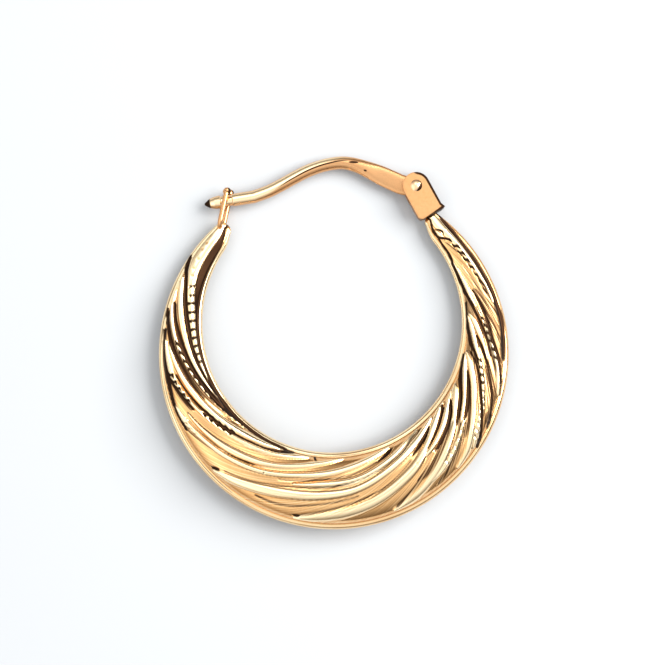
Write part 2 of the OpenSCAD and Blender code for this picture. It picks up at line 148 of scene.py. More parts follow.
# Creases between the strands, where shade is painted dark
CREASES = [
    [[132.6, 0.12, 0.03], [134.2, 0.13, 0.05], [135.2, 0.12, 0.02]],
    [[149, 0.05, 0.03], [153, 0.12, 0.05], [159, 0.31, 0.05], [166, 0.48, 0.05], [175, 0.64, 0.045],
     [184, 0.73, 0.03], [195, 0.82, 0.02], [207, 0.9, 0.02]],
    [[130, 0.4, 0.05], [134, 0.52, 0.06], [138, 0.65, 0.09], [145, 0.71, 0.12], [155, 0.74, 0.12],
     [162, 0.8, 0.08], [170, 0.86, 0.04], [185, 0.9, 0.035], [205, 0.92, 0.03], [228, 0.93, 0.022],
     [244, 0.935, 0.02], [251, 0.92, 0.01]],
    [[166.8, 0.2, 0.03], [171, 0.28, 0.035], [181, 0.48, 0.04], [190, 0.62, 0.035], [200, 0.75, 0.03],
     [210, 0.84, 0.035], [220, 0.9, 0.02], [230, 0.93, 0.01]],
    [[169, 0.08, 0.02], [176, 0.17, 0.03], [182, 0.28, 0.04], [190, 0.44, 0.03], [200, 0.59, 0.015],
     [206, 0.67, 0.005]],
    [[176, 0.11, 0.02], [184, 0.12, 0.02], [194, 0.14, 0.03], [204, 0.13, 0.02], [213, 0.15, 0.015]],
    [[192.5, 0.3, 0.012], [200, 0.42, 0.013], [210, 0.57, 0.016], [220, 0.67, 0.02], [225, 0.72, 0.013],
     [232, 0.78, 0.012], [242, 0.84, 0.018], [249, 0.9, 0.02], [252, 0.92, 0.01]],
    [[193, 0.15, 0.02], [198, 0.25, 0.025], [204, 0.36, 0.025], [208, 0.42, 0.01]],
    [[226, 0.42, 0.002], [230, 0.46, 0.006], [236, 0.52, 0.006], [240, 0.55, 0.002]],
    [[226, 0.11, 0.008], [228.5, 0.16, 0.012], [230, 0.18, 0.005]],
    [[256.5, 0.11, 0.006], [258.5, 0.12, 0.01], [260, 0.13, 0.005]],
    [[260.5, 0.92, 0.005], [261.5, 0.9, 0.02], [263, 0.88, 0.005]],
    [[289, 0.77, 0.004], [293, 0.81, 0.018], [296, 0.845, 0.022], [299, 0.88, 0.005]],
    [[303, 0.63, 0.004], [308, 0.69, 0.02], [313, 0.75, 0.024], [318, 0.82, 0.01]],
    [[311, 0.48, 0.005], [316, 0.53, 0.02], [323, 0.62, 0.027], [328, 0.71, 0.027], [333, 0.82, 0.012]],
    [[309, 0.57, 0.004], [316, 0.66, 0.014], [322, 0.75, 0.02], [329, 0.88, 0.014]],
    [[327, 0.44, 0.005], [332, 0.5, 0.025], [340, 0.63, 0.028], [347, 0.75, 0.01]],
    [[324, 0.5, 0.01], [330, 0.6, 0.025], [336, 0.7, 0.03], [342, 0.82, 0.03], [347, 0.87, 0.015],
     [354, 0.88, 0.015]],
    [[322, 0.06, 0.015], [327, 0.12, 0.02], [332, 0.23, 0.02], [338, 0.37, 0.02], [345, 0.51, 0.02],
     [350, 0.63, 0.015], [355, 0.8, 0.02]],
    [[329, 0.08, 0.008], [333, 0.1, 0.014], [338, 0.16, 0.012], [345, 0.3, 0.015], [352, 0.45, 0.02],
     [357, 0.57, 0.03], [362, 0.68, 0.005]],
    [[349, 0.56, 0.01], [353, 0.65, 0.02], [357, 0.78, 0.03], [363, 0.85, 0.02], [371, 0.88, 0.02],
     [376, 0.84, 0.01]],
    [[340, 0.07, 0.01], [347, 0.12, 0.02], [353, 0.2, 0.025], [360, 0.34, 0.025], [367, 0.42, 0.03],
     [374, 0.53, 0.03], [380, 0.64, 0.005]],
    [[353, 0.35, 0.01], [360, 0.46, 0.025], [366, 0.58, 0.03], [371, 0.68, 0.03], [377, 0.79, 0.03],
     [383, 0.85, 0.035], [388, 0.86, 0.035], [392, 0.85, 0.035], [395, 0.8, 0.03], [401, 0.79, 0.025],
     [404, 0.75, 0.035], [407.3, 0.74, 0.05], [409.2, 0.66, 0.05], [411.6, 0.5, 0.05]],
    [[352, 0.1, 0.02], [357, 0.11, 0.03], [364, 0.09, 0.03], [368, 0.095, 0.035], [375, 0.13, 0.035],
     [380, 0.15, 0.04], [385, 0.17, 0.045], [390, 0.18, 0.05], [396, 0.19, 0.05], [400, 0.18, 0.05],
     [405, 0.14, 0.05], [408, 0.09, 0.045], [410, 0.02, 0.04], [412, -0.04, 0.04]],
    [[402.4, 0.58, 0.015], [404.2, 0.46, 0.025], [405.8, 0.53, 0.025], [407.2, 0.68, 0.03]],
    [[398.6, 0.44, 0.02], [400.5, 0.48, 0.035], [402, 0.6, 0.045], [403.2, 0.7, 0.04],
     [404.6, 0.76, 0.02]],
]
# Softer creases, where a lighter brown shade is painted
FAINT_CREASES = [
    [[209, 0.25, 0.008], [218, 0.35, 0.01], [228, 0.44, 0.012], [236, 0.52, 0.012], [243, 0.57, 0.005]],
    [[205, 0.12, 0.008], [213, 0.17, 0.012], [218, 0.25, 0.012], [224, 0.32, 0.005]],
    [[152, 0.06, 0.006], [185, 0.06, 0.009], [215, 0.06, 0.009], [238, 0.06, 0.006]],
    [[230, 0.2, 0.01], [240, 0.32, 0.012], [250, 0.43, 0.012], [262, 0.51, 0.012], [276, 0.57, 0.01],
     [290, 0.66, 0.01], [302, 0.77, 0.02], [308, 0.85, 0.02], [315, 0.88, 0.01]],
    [[259, 0.13, 0.01], [268, 0.23, 0.012], [280, 0.34, 0.012], [290, 0.43, 0.01], [303, 0.6, 0.01]],
    [[243, 0.18, 0.01], [251, 0.19, 0.015], [265, 0.3, 0.01], [280, 0.4, 0.01]],
    [[248, 0.5, 0.01], [262, 0.61, 0.012], [278, 0.69, 0.012], [290, 0.79, 0.012]],
    [[250, 0.93, 0.01], [260, 0.94, 0.01], [300, 0.93, 0.01], [340, 0.91, 0.01]],
    [[290, 0.12, 0.01], [300, 0.27, 0.02], [310, 0.42, 0.02], [320, 0.53, 0.02], [326, 0.6, 0.01]],
    [[305, 0.1, 0.01], [315, 0.22, 0.03], [325, 0.37, 0.03], [332, 0.48, 0.01]],
    [[334, 0.2, 0.02], [342, 0.33, 0.05], [350, 0.45, 0.03]],
    [[322, 0.3, 0.02], [330, 0.43, 0.04], [337, 0.55, 0.01]],
    [[345, 0.2, 0.02], [352, 0.31, 0.04], [360, 0.4, 0.03], [368, 0.5, 0.01]],
    [[358, 0.16, 0.02], [366, 0.24, 0.05], [374, 0.4, 0.05], [384, 0.52, 0.03], [390, 0.6, 0.01]],
    [[400, 0.6, 0.01], [401, 0.62, 0.02], [402, 0.64, 0.01]],
]
# Where brown shade is painted on the flanks between the strands
SHADED = [
    [[165, 0.15, 0.03], [175, 0.3, 0.13], [185, 0.45, 0.17], [195, 0.55, 0.18], [205, 0.75, 0.12],
     [215, 0.88, 0.08], [226, 0.9, 0.04]],
    [[180, 0.1, 0.03], [190, 0.2, 0.08], [200, 0.3, 0.08], [208, 0.4, 0.03]],
    [[300, 0.3, 0.03], [312, 0.38, 0.12], [322, 0.42, 0.17], [332, 0.45, 0.18], [342, 0.58, 0.18],
     [350, 0.7, 0.15], [358, 0.76, 0.12], [366, 0.78, 0.14], [376, 0.78, 0.12], [384, 0.8, 0.03]],
    [[330, 0.12, 0.02], [338, 0.2, 0.1], [346, 0.26, 0.2], [356, 0.3, 0.24], [364, 0.34, 0.19],
     [372, 0.4, 0.13], [380, 0.58, 0.05]],
    [[355, 0.16, 0.03], [362, 0.2, 0.08], [370, 0.22, 0.12], [378, 0.26, 0.12], [386, 0.3, 0.08],
     [392, 0.42, 0.05], [401, 0.66, 0.02]],
]
# How dark that painted shade is at most
SHADE = 0.56
# Shallow dents on the broad strand at the catch, where the painted highlight is left out: angle, share
# across. Below, their half sizes.
DENTS = [
    [136.5, 0.17],
    [140.0, 0.13],
    [143.0, 0.25],
    [145.8, 0.26],
    [149.6, 0.34],
    [153.4, 0.36],
    [156.2, 0.43],
]
DENT = [0.75, 0.075]
DENT_DEPTH = 0.12
# Rows of beads on strands: the strand's row above, the angles where they start and end, the angle
# between two, how far past the strand's middle they sit, how far a cut between two reaches across for
# the strand's half width, its slant and half width in degrees, its depth, which also sets how dark the
# shade painted in it is
BEADED = [
    [0, 159.8, 164, 3.4, 0.04, 0.6, -0.5, 0.42, 0.7],
    [0, 166.3, 191, 3.4, 0.0, 0.95, -0.5, 0.42, 1.0],
    [2, 182.2, 224, 3.45, 0.01, 1.1, 0.5, 0.6, 0.9],
    [4, 193, 204, 2.6, -0.02, 1.0, 0.5, 0.6, 0.9],
    [4, 211.2, 223, 2.9, 0.03, 1.1, 0.4, 0.8, 1.2],
    [5, 210, 216, 2.5, -0.02, 0.8, 0.5, 0.4, 0.4],
    [20, 312.6, 329, 2.85, 0.0, 0.9, 0.6, 0.5, 0.35],
    [14, 325, 342.5, 2.2, 0.0, 0.9, 0.5, 0.4, 0.5],
    [14, 343.2, 352, 2.75, 0.0, 0.85, 0.1, 0.4, 1.0],
    [16, 353, 370, 2.9, 0.0, 0.85, 0.3, 0.45, 1.0],
    [18, 377.6, 398, 3.2, 0.09, 0.65, 0.9, 0.68, 1.0],
]


def smooth_lookup(x, xs, ys):
    """A smooth curve through a table's rows."""
    slopes = np.gradient(ys, xs)
    n = np.clip(np.searchsorted(xs, x) - 1, 0, len(xs) - 2)
    run = xs[n + 1] - xs[n]
    t = np.clip((x - xs[n]) / run, -0.5, 1.5)
    before = (1 + 2 * t) * (1 - t) ** 2 * ys[n] + t * (1 - t) ** 2 * run * slopes[n]
    return before + t * t * (3 - 2 * t) * ys[n + 1] + t * t * (t - 1) * run * slopes[n + 1]


def fade(a, start, end):
    """A soft step from nought to one between two values."""
    share = np.clip((a - start) / (end - start), 0, 1)
    return share * share * (3 - 2 * share)


LINE_END = 1.2
# For a strand's height: how high the face is between strands, how deep a cut between two beads goes, and
# how deep a softer crease is against a dark one
FACE_H = 0.3
CUT_DEPTH = 0.7
FAINT = 0.5


def line_at(line, angle):
    """Where a charted line lies across the face at each angle, and its half width."""
    at, across, half = np.array(line).T
    ends = fade(np.minimum(angle - at[0], at[-1] - angle), 0, LINE_END)
    return smooth_lookup(angle, at, across), np.maximum(np.interp(angle, at, half) * ends, 1e-6)


def bead_cuts():
    """Each cut between two beads: angle, share across, reach, slant, half width, depth."""
    for row, start, end, pitch, past, reach_across, slant, half, depth in BEADED:
        angles = np.arange(start, end, pitch)
        for angle, share, half_strand in zip(angles, *line_at(STRANDS[row], angles)):
            yield angle, share + past, reach_across * half_strand, slant, half, depth


def relief_at(angle, share):
    """Height of the pattern as a share of the highest strand's, how much shade is painted in the cuts,
    creases and on the flanks, and how strong the highlight painted on the strands' crests is."""
    height = np.full(angle.shape, FACE_H)
    for line in STRANDS:
        across, half = line_at(line, angle)
        away = np.abs(share - across) / half
        height = np.maximum(height, FACE_H + (1 - FACE_H) * np.clip(1 - away**2, 0, None) ** 0.6)
    # The highlight painted on the crests, stronger the higher the strand stands
    bright = fade(height, 0.4, 0.98)
    for at, across in DENTS:
        dent = 1 - fade(np.hypot((angle - at) / DENT[0], (share - across) / DENT[1]), 0.2, 1.2)
        bright = bright * (1 - dent)
        height = height * (1 - DENT_DEPTH * dent)
    dark = np.zeros(angle.shape)
    # Shade painted dark in the cuts between beads
    for at, across, reach_across, slant, half, depth in bead_cuts():
        near = np.abs(angle - at) < 3
        along = (share[near] - across) / max(reach_across, 0.01)
        away = np.abs(angle[near] - at - slant * along) / (half * (0.5 + 0.9 * np.abs(along)))
        cut = depth * (1 - fade(away, 0.6, 1.6)) * (1 - fade(np.abs(along), 0.8, 1.15))
        height[near] = height[near] * (1 - CUT_DEPTH * cut)
        dark[near] = np.maximum(dark[near], cut)
    # Shade painted dark in the creases, lighter in the softer ones
    for lines, strength in ((CREASES, 1.0), (FAINT_CREASES, FAINT)):
        for line in lines:
            across, half = line_at(line, angle)
            away = np.abs(share - across) / half
            height = height * (1 - strength * np.exp(-away**2 / 1.5))
            dark = np.maximum(dark, strength * (1 - fade(away, 0.85, 1.85)))
    # Brown shade painted on the flanks, kept off the highlit crests
    for line in SHADED:
        across, half = line_at(line, angle)
        shade = SHADE * (1 - fade(np.abs(share - across) / half, 0.4, 1.4))
        dark = np.maximum(dark, shade * (1 - bright))
    return height, dark, bright


# The pattern is charted as it is seen from above, where what stands higher looks further out.
SEEN_OUT = 0.068

# Where the strands start across the face and how far they go, as shares of its width
CROSS_FROM = 0.07
CROSS_RUN = 0.86
# How far round a strand goes on its way in, by the angle where it leaves the outer rim
CROSSING = [[20, 78], [110, 66], [156, 59], [204, 73], [235, 75], [287, 57], [332, 42], [411, 36]]


def leaving_angle(angle, share):
    """Where the strand through each place leaves the outer rim."""
    leaves = angle.copy()
    starts, turns = np.array(CROSSING, float).T
    way_in = 1 - (1 - np.clip((share - CROSS_FROM) / CROSS_RUN, 0, 1)) ** 0.8
    for _ in range(8):
        leaves = angle - np.interp(leaves, starts, turns) * way_in
    return leaves


# How far the shown faces stay inside the solid's box
INSIDE_UP = 0.022
INSIDE_OUT = 0.004


def face_points(angle, turn):
    """Front face of the shell from the outer rim to the inner: out, up and the four masks."""
    rim = np.minimum(RIM_W, RIM_SHARE * width(angle))
    half_w = width(angle) / 2 - rim
    base = RIM_H * 0.8
    rise = half_thickness(angle) - STRAND_H - base - INSIDE_UP
    crossed = (1 - np.cos(turn)) / 2
    edge = fade(np.minimum(crossed, 1 - crossed), 0, 0.06)
    fullness = np.clip(2 * width(angle) / BELLY_W, 0.35, 1)
    slope = np.stack([np.cos(turn) / half_w, np.sin(turn) / rise], -1)
    slope /= np.linalg.norm(slope, axis=-1, keepdims=True)
    flat = np.stack([half_w * np.cos(turn), base + rise * np.sin(turn)], -1)
    seen = flat[..., 0] + 0.5 * STRAND_H * edge * fullness * slope[..., 0] + flat[..., 1] * SEEN_OUT
    share = 0.5 - seen / width(angle)
    height, dark, bright = relief_at(angle, share)
    relief = STRAND_H * edge * fullness * height
    masks = np.stack([dark, bright, leaving_angle(angle, share), share], -1)
    return np.concatenate([flat + relief[..., None] * slope, masks], -1)


# The closed hoop lies on its belly, a rivet head and the fork, so it is pitched a little.
RIVET_OFF = [-0.95, 2.08]
RIVET = middle(np.array(HINGE_TIP)) + RIVET_OFF
CLEVIS_T = 1.2
RIVET_HEAD = 0.15
# How far the ear wire's crest is from the hoop's middle, so that the earring lies centred
WIRE_CREST = 12.4722
BELLY = middle(np.array(BOTTOM))
PITCH = math.asin((BELLY_T / 2 - CLEVIS_T / 2 - RIVET_HEAD) / (RIVET[1] - BELLY[1]))
LIE_UP = BELLY_T / 2 * math.cos(PITCH) + BELLY[1] * math.sin(PITCH)
LIE_ALONG = (HOOP_D / 2 - WIRE_CREST) / 2


def lay_down(points):
    """Points of the flat hoop in millimetres, laid down the way it rests, in metres."""
    x, y, z = np.moveaxis(np.asarray(points, float), -1, 0)
    along = y * math.cos(PITCH) + z * math.sin(PITCH) + LIE_ALONG
    up = z * math.cos(PITCH) - y * math.sin(PITCH) + LIE_UP
    return np.stack([x, along, up], -1) / 1000


def mark(mesh, key, values):
    """Keeps a number at each point of a mesh, for its material to read."""
    values = np.asarray(values, np.float32)
    mesh.attributes.new(key, "FLOAT", "POINT").data.foreach_set("value", values)


def make_piece(name, points, faces, masks=None):
    """A smooth piece from points in the flat hoop's frame, its faces turned outward."""
    mesh = bpy.data.meshes.new(name)
    placed = lay_down(points)
    mesh.from_pydata(placed.tolist(), [], faces)
    corners = np.empty(3 * len(mesh.loop_triangles), np.int32)
    mesh.loop_triangles.foreach_get("vertices", corners)
    a, b, c = np.moveaxis(placed[corners].reshape(-1, 3, 3), 1, 0)
    if (a * np.cross(b, c)).sum() < 0:
        mesh.flip_normals()
    mesh.polygons.foreach_set("use_smooth", [True] * len(mesh.polygons))
    for key, values in (masks or {}).items():
        mark(mesh, key, values)
    mesh.update()
    piece = bpy.data.objects.new(name, mesh)
    bpy.context.scene.collection.objects.link(piece)
    return piece


def tube_faces(rings, sides):
    """Quads between closed rings, and a fan to a point at each end."""
    faces = []
    for r in range(rings - 1):
        for s in range(sides):
            a, b = r * sides + s, r * sides + (s + 1) % sides
            faces.append((a, b, b + sides, a + sides))
    first, last = rings * sides, rings * sides + 1
    top = (rings - 1) * sides
    faces += [(first, (s + 1) % sides, s) for s in range(sides)]
    faces += [(last, top + s, top + (s + 1) % sides) for s in range(sides)]
    return faces


STATIONS = 720
ACROSS_FRONT = 84
ACROSS_BACK = 30
RIM_STEPS = 5
# How strong the highlight painted on the inner rim is, and on the outer by angle
RIM_BRIGHT_IN = 0.75
RIM_BRIGHT = [[134, 0.9], [230, 0.7], [290, 0.4], [340, 0.2], [411, 0.15]]
TIP_STEPS = 6


def half_section(angle, across):
    """One half of each section, outer edge to inner edge: out from the middle, up, painted shade,
    painted highlight, and two places for the marks that follow the strands."""
    grid = np.repeat(angle[:, None], across + 1, 1)
    even = np.linspace(0, 1, across + 1)
    turn = np.arccos(np.clip(0.5 * np.cos(np.pi * even) + 0.5 - even, -1, 1))
    face = face_points(grid, np.repeat(turn[None], len(angle), 0))
    rim = np.minimum(RIM_W, RIM_SHARE * width(angle))[:, None]
    turns = np.radians(np.linspace(0, 90, RIM_STEPS + 1)[:-1])[None]
    out = width(angle)[:, None] / 2 - rim * (1 - np.cos(turns)) - INSIDE_OUT
    up = RIM_H * np.sin(turns) + 0 * out
    sides = []
    for side in (1, -1):
        at = np.repeat(angle[:, None], RIM_STEPS, 1)
        share = 0.5 - side * out / width(angle)[:, None]
        # The highlight painted on the rims
        bright = np.interp(at, *np.array(RIM_BRIGHT).T) if side > 0 else RIM_BRIGHT_IN + 0 * at
        marks = [relief_at(at, share)[1], bright, 0.03 * at, share]
        sides.append(np.stack([side * out, up, *marks], -1))
    return np.concatenate([sides[0], face, sides[1][:, ::-1]], 1)


def shell_sections(angle):
    """Whole sections of the shell at each angle."""
    over = half_section(angle, ACROSS_FRONT)
    under = half_section(angle, ACROSS_BACK)[:, -2:0:-1] * [1, -1, 1, 1, 1, 1]
    return np.concatenate([over, under], 1)


angles = np.linspace(CATCH_TIP, HINGE_TIP, STATIONS + 1)
sections = shell_sections(angles)
sides = sections.shape[1]
tips = np.radians(np.linspace(80, 0, TIP_STEPS + 1)[:-1])
shrink = np.concatenate([np.cos(tips), np.ones(len(angles)), np.cos(tips)[::-1]])
along = np.concatenate([-TIP_ROUND * np.sin(tips), 0 * angles, TIP_ROUND * np.sin(tips)[::-1]])
row = np.concatenate([np.zeros(TIP_STEPS, int), np.arange(len(angles)), np.full(TIP_STEPS, STATIONS)])
out_way = way(angles[row])
along_way = np.stack([-out_way[:, 1], out_way[:, 0]], -1)
flat = middle(angles[row]) + along[:, None] * along_way
flat = flat[:, None] + (shrink[:, None] * sections[row, :, 0])[..., None] * out_way[:, None]
rings = np.concatenate([flat, (shrink[:, None] * sections[row, :, 1])[..., None]], -1)
tip_points = [
    [*(middle(angles[n]) + sign * TIP_ROUND * along_way[n]), 0] for n, sign in ((0, -1), (-1, 1))
]
shell_points = np.concatenate([rings.reshape(-1, 3), tip_points])
shell_masks = {
    key: np.concatenate([sections[row, :, 2 + n].reshape(-1), [0, 0]])
    for n, key in enumerate(("groove", "painted_highlight", "leaves", "share"))
}
hoop_shell = make_piece("hoop_shell", shell_points, tube_faces(len(row), sides), shell_masks)


def effect_group(name, inputs, outputs):
    """A shader node group with named inputs (with their values) and outputs."""
    group = bpy.data.node_groups.new(name, "ShaderNodeTree")
    for label, kind, value in inputs:
        socket = group.interface.new_socket(label, in_out="INPUT", socket_type=kind)
        if value is not None:
            socket.default_value = value
    for label, kind in outputs:
        group.interface.new_socket(label, in_out="OUTPUT", socket_type=kind)
    return group, group.nodes.new("NodeGroupInput"), group.nodes.new("NodeGroupOutput")


# Gold with shade painted in the Dark colour where its mask says, broken up along the strands,
# highlights painted in the Bright colour, bright and brown streaks along the strands, warm patches,
# and fine marks from the polishing wheel.
gold_effect, taken, given = effect_group(
    "gold_with_painted_light",
    [
        ("Place", "NodeSocketVector", None),
        ("Gold", "NodeSocketColor", (0.9, 0.6, 0.3, 1)),
        ("Bright", "NodeSocketColor", (1.0, 0.79, 0.49, 1)),
        ("Film", "NodeSocketColor", (0.45, 0.24, 0.09, 1)),
        ("Dark", "NodeSocketColor", (0.1, 0.05, 0.02, 1)),
        ("Painted Shade", "NodeSocketFloat", 0.0),
        ("Painted Highlight", "NodeSocketFloat", 0.0),
        ("Leaves", "NodeSocketFloat", 0.0),
        ("Share", "NodeSocketFloat", 0.0),
        ("Streak", "NodeSocketFloat", 0.0),
        ("Grain", "NodeSocketFloat", 0.1),
        ("Polish", "NodeSocketFloat", 0.15),
        ("Patch Size", "NodeSocketFloat", 0.002),
        ("Mark Size", "NodeSocketFloat", 0.0002),
    ],
    [("Colour", "NodeSocketColor"), ("Roughness", "NodeSocketFloat"), ("Height", "NodeSocketFloat")],
)


def node(tree, kind, links=(), **settings):
    """A node with its settings, its inputs linked or set."""
    made = tree.nodes.new(kind)
    for key, value in settings.items():
        setattr(made, key, value)
    for key, source in dict(links).items():
        if isinstance(source, bpy.types.NodeSocket):
            tree.links.new(source, made.inputs[key])
        else:
            made.inputs[key].default_value = source
    return made


def ranged(tree, value, start, end, kind="LINEAR"):
    """A value taken from one range to another."""
    links = {"Value": value, "From Min": start[0], "From Max": start[1]}
    links.update({"To Min": end[0], "To Max": end[1]})
    return node(tree, "ShaderNodeMapRange", links, interpolation_type=kind).outputs[0]


def mixed(tree, share, first, second, kind="MIX"):
    """Two colours mixed by a share."""
    links = {"Fac": share, "Color1": first, "Color2": second}
    return node(tree, "ShaderNodeMixRGB", links, blend_type=kind).outputs[0]


def worked_out(tree, operation, *terms, clamp=False):
    """One number worked out from others."""
    links = dict(enumerate(terms))
    return node(tree, "ShaderNodeMath", links, operation=operation, use_clamp=clamp).outputs[0]


def speckle(tree, place, scale, detail, roughness=0.5):
    """A soft random pattern with no direction of its own."""
    links = {"Vector": place, "Scale": scale, "Detail": detail, "Roughness": roughness}
    return node(tree, "ShaderNodeTexNoise", links).outputs["Fac"]


patch_scale = worked_out(gold_effect, "DIVIDE", 1.0, taken.outputs["Patch Size"])
patches = speckle(gold_effect, taken.outputs["Place"], patch_scale, 3.0)
mark_scale = worked_out(gold_effect, "DIVIDE", 1.0, taken.outputs["Mark Size"])
marks = speckle(gold_effect, taken.outputs["Place"], mark_scale, 4.0)
warm = mixed(gold_effect, patches, taken.outputs["Gold"], (1.0, 0.9, 0.8, 1), "MULTIPLY")
grain_step = ranged(gold_effect, marks, (0.42, 0.62), (0.0, 1.0))
grain = worked_out(gold_effect, "MULTIPLY", grain_step, taken.outputs["Grain"])
grained = mixed(gold_effect, grain, warm, taken.outputs["Film"])
streak_place = node(
    gold_effect,
    "ShaderNodeCombineXYZ",
    {0: taken.outputs["Leaves"], 1: taken.outputs["Share"]},
)
streaks = speckle(gold_effect, streak_place.outputs[0], 0.9, 2.5, 0.65)
# The painted shade, broken up along the strands
shade_streak_step = ranged(gold_effect, streaks, (0.4, 0.6), (1.45, 0.8))
streaky_shade = worked_out(gold_effect, "MULTIPLY", taken.outputs["Painted Shade"], shade_streak_step)
shade_share = ranged(gold_effect, streaky_shade, (0.1, 0.8), (0.0, 1.0), "SMOOTHSTEP")
# Highlights painted in the Bright colour, with bright streaks along the strands
streak_step = ranged(gold_effect, streaks, (0.38, 0.68), (-0.5, 1.0))
streak_terms = streak_step, taken.outputs["Streak"], taken.outputs["Painted Highlight"]
streaked = worked_out(gold_effect, "MULTIPLY_ADD", *streak_terms, clamp=True)
film_step = ranged(gold_effect, streaks, (0.52, 0.32), (0.0, 1.3))
film = worked_out(gold_effect, "MULTIPLY", film_step, taken.outputs["Streak"], clamp=True)
filmed = mixed(gold_effect, film, grained, taken.outputs["Film"])
painted_highlight = mixed(gold_effect, streaked, filmed, taken.outputs["Bright"])
coloured = mixed(gold_effect, shade_share, painted_highlight, taken.outputs["Dark"])
roughened = worked_out(gold_effect, "MULTIPLY_ADD", shade_share, 0.25, taken.outputs["Polish"])
uneven = worked_out(gold_effect, "MULTIPLY_ADD", marks, 0.06, roughened)
gold_effect.links.new(coloured, given.inputs["Colour"])
gold_effect.links.new(uneven, given.inputs["Roughness"])
gold_effect.links.new(marks, given.inputs["Height"])


def gold(name, colour, polish, mark_depth, masks=None, streak=0.0, grain=0.1):
    """A gold finish from the shared effect, with its own colour, polish and depth of marks."""
    material = bpy.data.materials.new(name)
    material.use_nodes = True
    tree = material.node_tree
    shader = tree.nodes["Principled BSDF"]
    place = node(tree, "ShaderNodeTexCoord")
    effect = node(tree, "ShaderNodeGroup", node_tree=gold_effect)
    tree.links.new(place.outputs["Object"], effect.inputs["Place"])
    effect.inputs["Gold"].default_value = (*colour, 1)
    # The colour of the painted shade
    effect.inputs["Dark"].default_value = (0.03, 0.014, 0.007, 1)
    effect.inputs["Polish"].default_value = polish
    effect.inputs["Streak"].default_value = streak
    effect.inputs["Grain"].default_value = grain
    for label, mask in (masks or {}).items():
        worn = node(tree, "ShaderNodeAttribute", attribute_name=mask)
        tree.links.new(worn.outputs["Fac"], effect.inputs[label])
    bump_links = {"Strength": 1.0, "Distance": mark_depth, "Height": effect.outputs["Height"]}
    bump = node(tree, "ShaderNodeBump", bump_links)
    shader.inputs["Metallic"].default_value = 1.0
    tree.links.new(effect.outputs["Colour"], shader.inputs["Base Color"])
    tree.links.new(effect.outputs["Roughness"], shader.inputs["Roughness"])
    tree.links.new(bump.outputs["Normal"], shader.inputs["Normal"])
    return material


stamped_masks = {"Painted Shade": "groove", "Painted Highlight": "painted_highlight", "Leaves": "leaves", "Share": "share"}
stamped_gold = gold("stamped_gold", (0.88, 0.52, 0.225), 0.16, 0.000002, stamped_masks, 0.45)
hoop_shell.data.materials.append(stamped_gold)
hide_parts("hoop")
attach(hoop_shell, "hoop")

# Clevis. A strip of gold is bent to a fork of two ears, drilled for the rivet and soldered over the
# hoop's tip. Its faces are left a little matt, and shade is painted along its edges, most along the
# right one.
CLEVIS_ANGLE = 118.4
CLEVIS_W = 1.7
CLEVIS_DROP = 2.06
EAR_GAP = 0.52
SLOT_DROP = 0.9
CLEVIS_ROUND = 0.3
CLEVIS_FLARE = 0.12
FLARE_IN = 0.1
FLARE_RISE = 0.06
FLARE_TOP = 0.35
CLEVIS_EDGE = 0.06
EDGE_BAND = 0.2
EDGE_DARK = [1.7, 0.35]
ARC_STEPS = 24
CORNER_STEPS = 8
DRILL_STEPS = 64
DRILL_L = 3.0
SLOT_REACH = 2
EAR_HOLE_D = 0.48


def at_rivet(points):
    """Points about the rivet, with y along the clevis, moved into the flat hoop's frame."""
    turn = math.radians(CLEVIS_ANGLE - 90)
    x, y, z = np.moveaxis(np.asarray(points, float), -1, 0)
    across = x * math.cos(turn) - y * math.sin(turn) + RIVET[0]
    along = x * math.sin(turn) + y * math.cos(turn) + RIVET[1]
    return np.stack([across, along, z], -1)


def clevis_outline():
    """The ears' outline: round at the rivet, one rounded and one flared corner at the foot."""
    half = CLEVIS_W / 2
    turns = np.linspace(0, np.pi, ARC_STEPS + 1)
    crown = [(half * math.cos(t), half * math.sin(t)) for t in turns]
    corner_x, corner_y = CLEVIS_ROUND - half, CLEVIS_ROUND - CLEVIS_DROP
    corner = [
        (corner_x - CLEVIS_ROUND * math.cos(t), corner_y - CLEVIS_ROUND * math.sin(t))
        for t in np.linspace(0, np.pi / 2, CORNER_STEPS)
    ]
    flare = [
        (half - FLARE_IN, -CLEVIS_DROP),
        (half + CLEVIS_FLARE, FLARE_RISE - CLEVIS_DROP),
        (half, FLARE_TOP - CLEVIS_DROP),
    ]
    return crown + corner + flare


def prism(name, outline, bottom, top, place, inset=0.1):
    """A flat plate with an outline, between two heights, with a line of points inside its edges."""
    count = len(outline)
    outline = np.array(outline)
    ahead, behind = np.roll(outline, -1, 0) - outline, outline - np.roll(outline, 1, 0)
    ahead /= np.linalg.norm(ahead, axis=1, keepdims=True)
    behind /= np.linalg.norm(behind, axis=1, keepdims=True)
    inward = np.stack([-ahead[:, 1] - behind[:, 1], ahead[:, 0] + behind[:, 0]], -1)
    inward *= 2 / (inward**2).sum(1, keepdims=True)
    inner = outline + inset * inward
    rows = [(inner, bottom), (outline, bottom), (outline, top), (inner, top)]
    points = [(x, y, z) for row, z in rows for x, y in row]
    faces = [tuple(range(count))[::-1], tuple(range(3 * count, 4 * count))]
    for first in (0, count, 2 * count):
        steps = [(n, (n + 1) % count) for n in range(count)]
        faces += [(first + a, first + b, first + b + count, first + a + count) for a, b in steps]
    return make_piece(name, place(points), faces)


def finish_mesh(piece):
    """Keeps what the modifiers make as the piece's plain mesh."""
    shown = piece.evaluated_get(bpy.context.evaluated_depsgraph_get())
    mesh = bpy.data.meshes.new_from_object(shown)
    piece.modifiers.clear()
    piece.data = mesh
    return piece


def cut(piece, tool):
    """Takes a tool's shape out of a piece."""
    modifier = piece.modifiers.new("cut", "BOOLEAN")
    modifier.operation = "DIFFERENCE"
    modifier.solver = "EXACT"
    modifier.object = tool
    finish_mesh(piece)
    bpy.data.objects.remove(tool)


